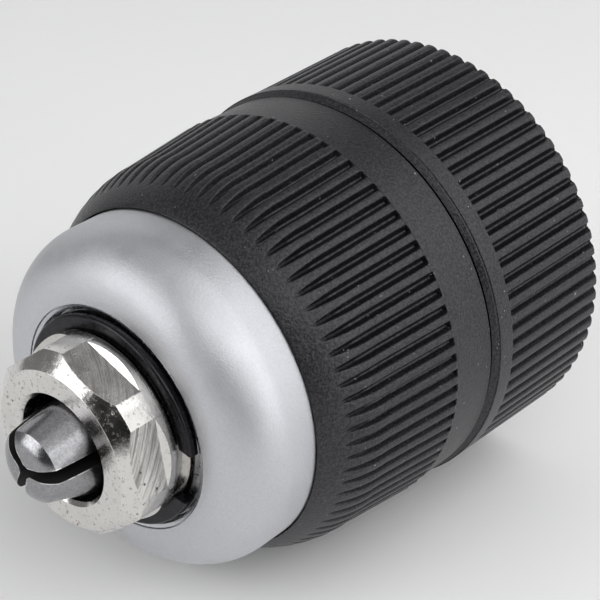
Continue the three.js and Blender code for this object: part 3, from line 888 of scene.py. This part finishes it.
def blasted_metal():
    """Bead-blasted metal, smoother on the lip of the opening."""
    material, tree, shader, place = new_material("blasted_metal", 1.0)
    radius, _, _ = axis_distance(tree, place)
    mottle = noise(tree, place, 4, 4, 0.6)
    pits = noise(tree, place, 0.2, 3, 0.65)
    tone = blend_colours(tree, mottle, (0.55, 0.555, 0.585), (0.64, 0.645, 0.67))
    fine = maths(tree, "MULTIPLY", spread(tree, pits, 0.3, 0.75, 0, 1), 0.22)
    join(tree, blend_colours(tree, fine, tone, (0.36, 0.365, 0.385)), shader.inputs["Base Color"])
    on_lip = spread(tree, radius, (CONE_HEM + 0.22) * MM, (CONE_HEM + 0.3) * MM, 1, 0)
    blasted = spread(tree, mottle, 0.3, 0.7, 0.44, 0.54)
    smoother = maths(tree, "MULTIPLY", on_lip, 0.22)
    join(tree, maths(tree, "SUBTRACT", blasted, smoother), shader.inputs["Roughness"])
    bump(tree, shader, pits, 0.035, 0.8)
    return material


def axis_distance(tree, place):
    """Distance from the chuck's axis in metres, the angle about it, and the height along it."""
    parts = add(tree, "SeparateXYZ", {0: place})
    x, y, z = parts.outputs
    square = maths(tree, "ADD", maths(tree, "MULTIPLY", x, x), maths(tree, "MULTIPLY", z, z))
    return maths(tree, "SQRT", square), maths(tree, "ARCTAN2", z, x), y


def milling_marks(tree, radius, angle, height):
    """Arcs that the cutter leaves on the spanner flats, from 0 to 1, and where the flats are."""
    step = 2 * math.pi / FLAT_COUNT
    turned = maths(tree, "ADD", angle, step / 2 - PHASE + 2 * math.pi)
    inside = maths(tree, "SUBTRACT", maths(tree, "MODULO", turned, step), step / 2)
    outwards = maths(tree, "MULTIPLY", radius, maths(tree, "COSINE", inside))
    across = maths(tree, "MULTIPLY", radius, maths(tree, "SINE", inside))
    near = spread(tree, outwards, (FLAT_DISTANCE + 0.01) * MM, (FLAT_DISTANCE + 0.03) * MM, 1, 0)
    front = spread(tree, height, -(FLAT_START - 0.05) * MM, -FLAT_START * MM, 0, 1)
    solid = spread(tree, outwards, (FLAT_DISTANCE - 0.05) * MM, (FLAT_DISTANCE - 0.02) * MM, 0, 1)
    on_flat = maths(tree, "MULTIPLY", maths(tree, "MULTIPLY", near, front), solid)
    cutter_side, cutter_ahead = 9, 12  # its axis, from the flat's middle and from the nose face
    sideways = maths(tree, "SUBTRACT", across, cutter_side * MM)
    ahead = maths(tree, "ADD", height, (NOSE_FACE + cutter_ahead) * MM)
    sideways_squared, ahead_squared = (maths(tree, "MULTIPLY", part, part) for part in (sideways, ahead))
    square = maths(tree, "ADD", sideways_squared, ahead_squared)
    ring = {0: maths(tree, "SQRT", square), 1: maths(tree, "MULTIPLY", across, 0.04)}
    return noise(tree, add(tree, "CombineXYZ", ring).outputs[0], 0.38, 4, 0.65), on_flat


def plated_steel():
    """Nickel plating with pits and stains, milled flats, and the hidden flange's rim made near black."""
    material, tree, shader, place = new_material("plated_steel", 1.0)
    radius, angle, height = axis_distance(tree, place)
    mottle = noise(tree, place, 1.6, 4, 0.6)
    tone = blend_colours(tree, mottle, (0.60, 0.585, 0.565), (0.74, 0.725, 0.705))
    pits = maths(tree, "MAXIMUM", specks(tree, place, 0.24, 0.045), specks(tree, place, 0.7, 0.035))
    behind = spread(tree, height, -(FLAT_START + 1.4) * MM, -(FLAT_START + 0.2) * MM, 0.75, 0.35)
    stains = maths(tree, "MULTIPLY", spread(tree, noise(tree, place, 0.4, 4, 0.7), 0.54, 0.7, 0, 1), behind)
    marks, on_flat = milling_marks(tree, radius, angle, height)
    streaks = maths(tree, "MULTIPLY", spread(tree, marks, 0.42, 0.6, 0, 0.72), on_flat)
    dirt = maths(tree, "MAXIMUM", maths(tree, "MAXIMUM", pits, stains), streaks)
    tone = blend_colours(tree, dirt, tone, (0.15, 0.135, 0.125))
    # The flange's rim is darkened to near black.
    flange_rim = spread(tree, radius, (FLANGE_RADIUS - 0.3) * MM, (FLANGE_RADIUS - 0.15) * MM, 0, 1)
    join(tree, blend_colours(tree, flange_rim, tone, (0.015, 0.014, 0.012)), shader.inputs["Base Color"])
    uneven = spread(tree, mottle, 0.3, 0.7, 0.13, 0.22)
    join(tree, maths(tree, "ADD", uneven, maths(tree, "MULTIPLY", dirt, 0.3)), shader.inputs["Roughness"])
    turning = add(tree, "CombineXYZ", {0: radius, 1: height, 2: 0.0}).outputs[0]
    first = bump(tree, shader, noise(tree, turning, 0.09, 2), 0.006, 0.5)
    second = bump(tree, shader, noise(tree, place, 0.5, 4, 0.6), 0.04, 0.4, first)
    third = bump(tree, shader, maths(tree, "MULTIPLY", marks, on_flat), 0.05, 0.8, second)
    bump(tree, shader, pits, -0.03, 0.6, third)
    return material


def worked_steel(name, dark, light, rough_low, rough_high, line_size):
    """Machined steel with fine lines round the axis, stains and small scratches."""
    material, tree, shader, place = new_material(name, 1.0)
    radius, _, height = axis_distance(tree, place)
    mottle = noise(tree, place, 1.8, 5, 0.65)
    join(tree, blend_colours(tree, mottle, dark, light), shader.inputs["Base Color"])
    turning = add(tree, "CombineXYZ", {0: radius, 1: height, 2: 0.0}).outputs[0]
    lines = noise(tree, turning, line_size, 3)
    rough = spread(tree, noise(tree, place, 0.7, 4), 0.3, 0.7, rough_low, rough_high)
    join(tree, rough, shader.inputs["Roughness"])
    first = bump(tree, shader, lines, 0.006, 0.6)
    bump(tree, shader, noise(tree, place, 0.12, 2), 0.004, 0.6, first)
    return material


def ground_steel():
    """The jaws: ground outside, with painted shade on the gripping faces and bright edges beside them, part
    wear and part painted highlight.
    """
    material, tree, shader, place = new_material("ground_steel", 1.0)
    radius, angle, height = axis_distance(tree, place)
    third = 2 * math.pi / len(JAWS)
    turned = maths(tree, "ADD", angle, 2 * math.pi - PHASE)
    inside = maths(tree, "SUBTRACT", maths(tree, "MODULO", turned, third), third / 2)
    outwards = maths(tree, "MULTIPLY", radius, maths(tree, "COSINE", inside))
    across = maths(tree, "ABSOLUTE", maths(tree, "MULTIPLY", radius, maths(tree, "SINE", inside)))
    from_edge = maths(tree, "SUBTRACT", outwards, GRIP_EDGE * MM)
    from_face = maths(
        tree, "SUBTRACT",
        maths(tree, "MULTIPLY", from_edge, math.sin(GRIP_HALF_ANGLE)),
        maths(tree, "MULTIPLY", across, math.cos(GRIP_HALF_ANGLE)),
    )
    blunt = GRIP_BLUNT * math.cos(GRIP_HALF_ANGLE)
    on_face = spread(tree, from_face, 0.004 * MM, 0.012 * MM, 1, 0)
    on_blunt = spread(tree, from_edge, (blunt + 0.004) * MM, (blunt + 0.012) * MM, 1, 0)
    # Painted shade: the gripping faces lie in the dark slots between the jaws, so they are made near black and
    # not metallic.
    grip_face_shade = maths(tree, "MAXIMUM", on_face, on_blunt)
    # Bright bands beside the gripping faces: part wear, part painted highlight.
    edge_wear_and_highlight = maths(tree, "SUBTRACT", spread(tree, from_face, 0.06 * MM, 0.1 * MM, 1, 0), grip_face_shade)
    edge_wear_and_highlight = maths(tree, "MULTIPLY", edge_wear_and_highlight, spread(tree, noise(tree, place, 0.9, 3), 0.42, 0.58, 0.1, 1))
    mottle = noise(tree, place, 0.8, 5, 0.65)
    tone = blend_colours(tree, mottle, (0.26, 0.26, 0.271), (0.38, 0.38, 0.397))
    fine = spread(tree, noise(tree, place, 0.22, 4, 0.75), 0.4, 0.64, 0, 0.45)
    tone = blend_colours(tree, fine, tone, (0.16, 0.16, 0.17))
    tone = blend_colours(tree, edge_wear_and_highlight, tone, (0.78, 0.78, 0.78))
    join(tree, blend_colours(tree, grip_face_shade, tone, (0.004, 0.004, 0.004)), shader.inputs["Base Color"])
    join(tree, maths(tree, "SUBTRACT", 1.0, grip_face_shade), shader.inputs["Metallic"])
    rough = spread(tree, noise(tree, place, 1.5, 3), 0.3, 0.7, 0.2, 0.27)
    join(tree, maths(tree, "ADD", rough, maths(tree, "MULTIPLY", grip_face_shade, 0.5)), shader.inputs["Roughness"])
    around = add(tree, "CombineXYZ", {0: radius, 1: height, 2: 0.0}).outputs[0]
    first = bump(tree, shader, noise(tree, around, 0.1, 3), 0.003, 0.5)
    bump(tree, shader, noise(tree, place, 0.13, 2), 0.006, 0.7, first)
    return material


# ---------------------------------------------------------------- assembly
PLASTIC = black_plastic()
BLASTED = blasted_metal()
PLATED = plated_steel()
GROUND = ground_steel()
TURNED = worked_steel("bright_steel", (0.38, 0.38, 0.39), (0.52, 0.52, 0.53), 0.25, 0.38, 0.12)
NUT_STEEL = worked_steel("nut_steel", (0.20, 0.20, 0.205), (0.33, 0.33, 0.34), 0.3, 0.45, 0.12)
BLACKENED = worked_steel("blackened_steel", (0.018, 0.018, 0.02), (0.045, 0.045, 0.05), 0.22, 0.38, 0.1)
POLISHED = worked_steel("ball_steel", (0.58, 0.58, 0.60), (0.66, 0.66, 0.68), 0.06, 0.12, 0.3)
BRASS = worked_steel("cage_brass", (0.50, 0.36, 0.15), (0.62, 0.46, 0.20), 0.28, 0.42, 0.15)

seat(chuck_body(), "housing", ["chuck_body"], PLATED, 28)
seat(rear_sleeve(), "housing", ["rear_sleeve"], PLASTIC, 55)
seat(front_sleeve(), "front_drive", ["front_sleeve"], PLASTIC, 55)
seat(nose_cone(), "front_drive", ["nose_cone"], BLASTED, 40)
seat(nose_washer(), "housing", ["nose_washer"], TURNED)
seat(snap_ring(), "housing", ["snap_ring"], BLACKENED)
for i, (angle, _) in enumerate(JAWS, 1):
    seat(jaw(i, angle), f"jaw_{i}", [f"jaw_{i}"], GROUND, 20)
seat(nut_half("nut_half_a_thread", 1), "front_drive", ["nut_half_a"], NUT_STEEL)
seat(nut_half("nut_half_b_thread", -1), "front_drive", ["nut_half_b"], NUT_STEEL)
seat(nut_band(), "front_drive", ["nut_band"], TURNED)
rear_race = race("bearing_race_rear_ring", 15.6, REAR_RACE_START, REAR_RACE_END)
seat(rear_race, "housing", ["bearing_race_rear"], TURNED)
front_race = race("bearing_race_front_ring", 14.7, FRONT_RACE_END, FRONT_RACE_START)
seat(front_race, "front_drive", ["bearing_race_front"], TURNED)
seat(ball_cage(), "ball_train", ["ball_cage"], BRASS)
for i in range(BALL_COUNT):
    node = f"ball_{i + 1:02d}"
    sphere = ball(node + "_sphere", PHASE + i * 2 * math.pi / BALL_COUNT)
    seat(sphere, "ball_train", [node], POLISHED)


# ---------------------------------------------------------------- stage, light and camera
def floor():
    """A flat pale floor that touches the object's lowest point."""
    low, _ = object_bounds()
    width = 2.5  # metres
    bpy.ops.mesh.primitive_plane_add(size=width, location=(0, 0, low.z))
    plane = bpy.context.object
    plane.name = "floor"
    material, tree, shader, place = new_material("floor_paper", 0.0, 0.2)
    paper = blend_colours(tree, noise(tree, place, 60, 2), (0.93, 0.93, 0.93), (0.95, 0.95, 0.95))
    join(tree, paper, shader.inputs["Base Color"])
    shader.inputs["Roughness"].default_value = 0.8
    plane.data.materials.append(material)
    plane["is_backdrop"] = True


STUDIO = [  # soft boxes: name, (azimuth, elevation) in degrees, (width, height) in metres, power in watts
    ("key", (50, 46), (0.28, 0.25), 0.5),
    ("high_right", (95, 76), (0.3, 0.22), 0.15),
    ("high_left", (-85, 72), (0.3, 0.3), 0.1),
    ("front_left", (-26, 23), (0.3, 0.3), 0.78),
    ("back_left", (-122, 20), (0.6, 0.28), 0.34),
    ("right", (95, 25), (0.3, 0.46), 0.75),
    ("back_right", (138, 20), (0.55, 0.3), 0.55),
    ("high_back", (144, 55), (0.28, 0.28), 0.36),
]
LAMP_DISTANCE = 0.45
CAMERA_AZIMUTH, CAMERA_ELEVATION = 41.31, 31.41
CAMERA_DISTANCE = 171.92
CAMERA_TARGET = (-0.41, -21.2, 0.45)
FOCAL_LENGTH = 103.65
PALE, DARK = 0.2, 0.015  # radiance of the surroundings


def direction_to(azimuth, elevation):
    """A unit vector. Azimuth 0 is in front of the nose, and 90 is to its right; both are in degrees."""
    azimuth, elevation = math.radians(azimuth), math.radians(elevation)
    level = math.cos(elevation)
    return Vector((math.sin(azimuth) * level, -math.cos(azimuth) * level, math.sin(elevation)))


def aim(name, data, target, direction, distance):
    """An object that looks back at a target from a direction and a distance."""
    holder = new_object(name, data)
    holder.location = target + direction * distance
    holder.rotation_euler = (-direction).to_track_quat("-Z", "Y").to_euler()
    return holder


def lamp(name, direction, size, power):
    """A soft box that faces the middle of the chuck."""
    light = bpy.data.lights.new(name, "AREA")
    light.shape = "RECTANGLE"
    light.size, light.size_y = size
    light.energy = power
    middle = Vector((0, -0.5 * NOSE_FACE * MM, 0))
    aim(name, light, middle, direction_to(*direction), LAMP_DISTANCE)


def world():
    """Pale all round, apart from the dark room behind the camera."""
    surroundings = bpy.data.worlds.new("studio")
    surroundings.use_nodes = True
    tree = surroundings.node_tree
    towards = add(tree, "TexCoord", {}).outputs["Generated"]
    inputs = {0: towards, 1: direction_to(CAMERA_AZIMUTH, 0)}
    facing = add(tree, "VectorMath", inputs, operation="DOT_PRODUCT").outputs["Value"]
    background = tree.nodes["Background"]
    background.inputs["Color"].default_value = (1, 1, 1, 1)
    join(tree, spread(tree, facing, 0.2, 0.7, PALE, DARK), background.inputs["Strength"])
    bpy.context.scene.world = surroundings


def camera():
    """A long lens from the front, right and above, with the chuck's nose towards it."""
    lens = bpy.data.cameras.new("camera")
    lens.lens = FOCAL_LENGTH
    lens.clip_start = 0.005
    direction = direction_to(CAMERA_AZIMUTH, CAMERA_ELEVATION)
    holder = aim("camera", lens, Vector(CAMERA_TARGET) * MM, direction, CAMERA_DISTANCE * MM)
    bpy.context.scene.camera = holder


floor()
world()
for name, direction, size, power in STUDIO:
    lamp(name, direction, size, power)
camera()
bpy.context.scene.view_settings.view_transform = "Standard"
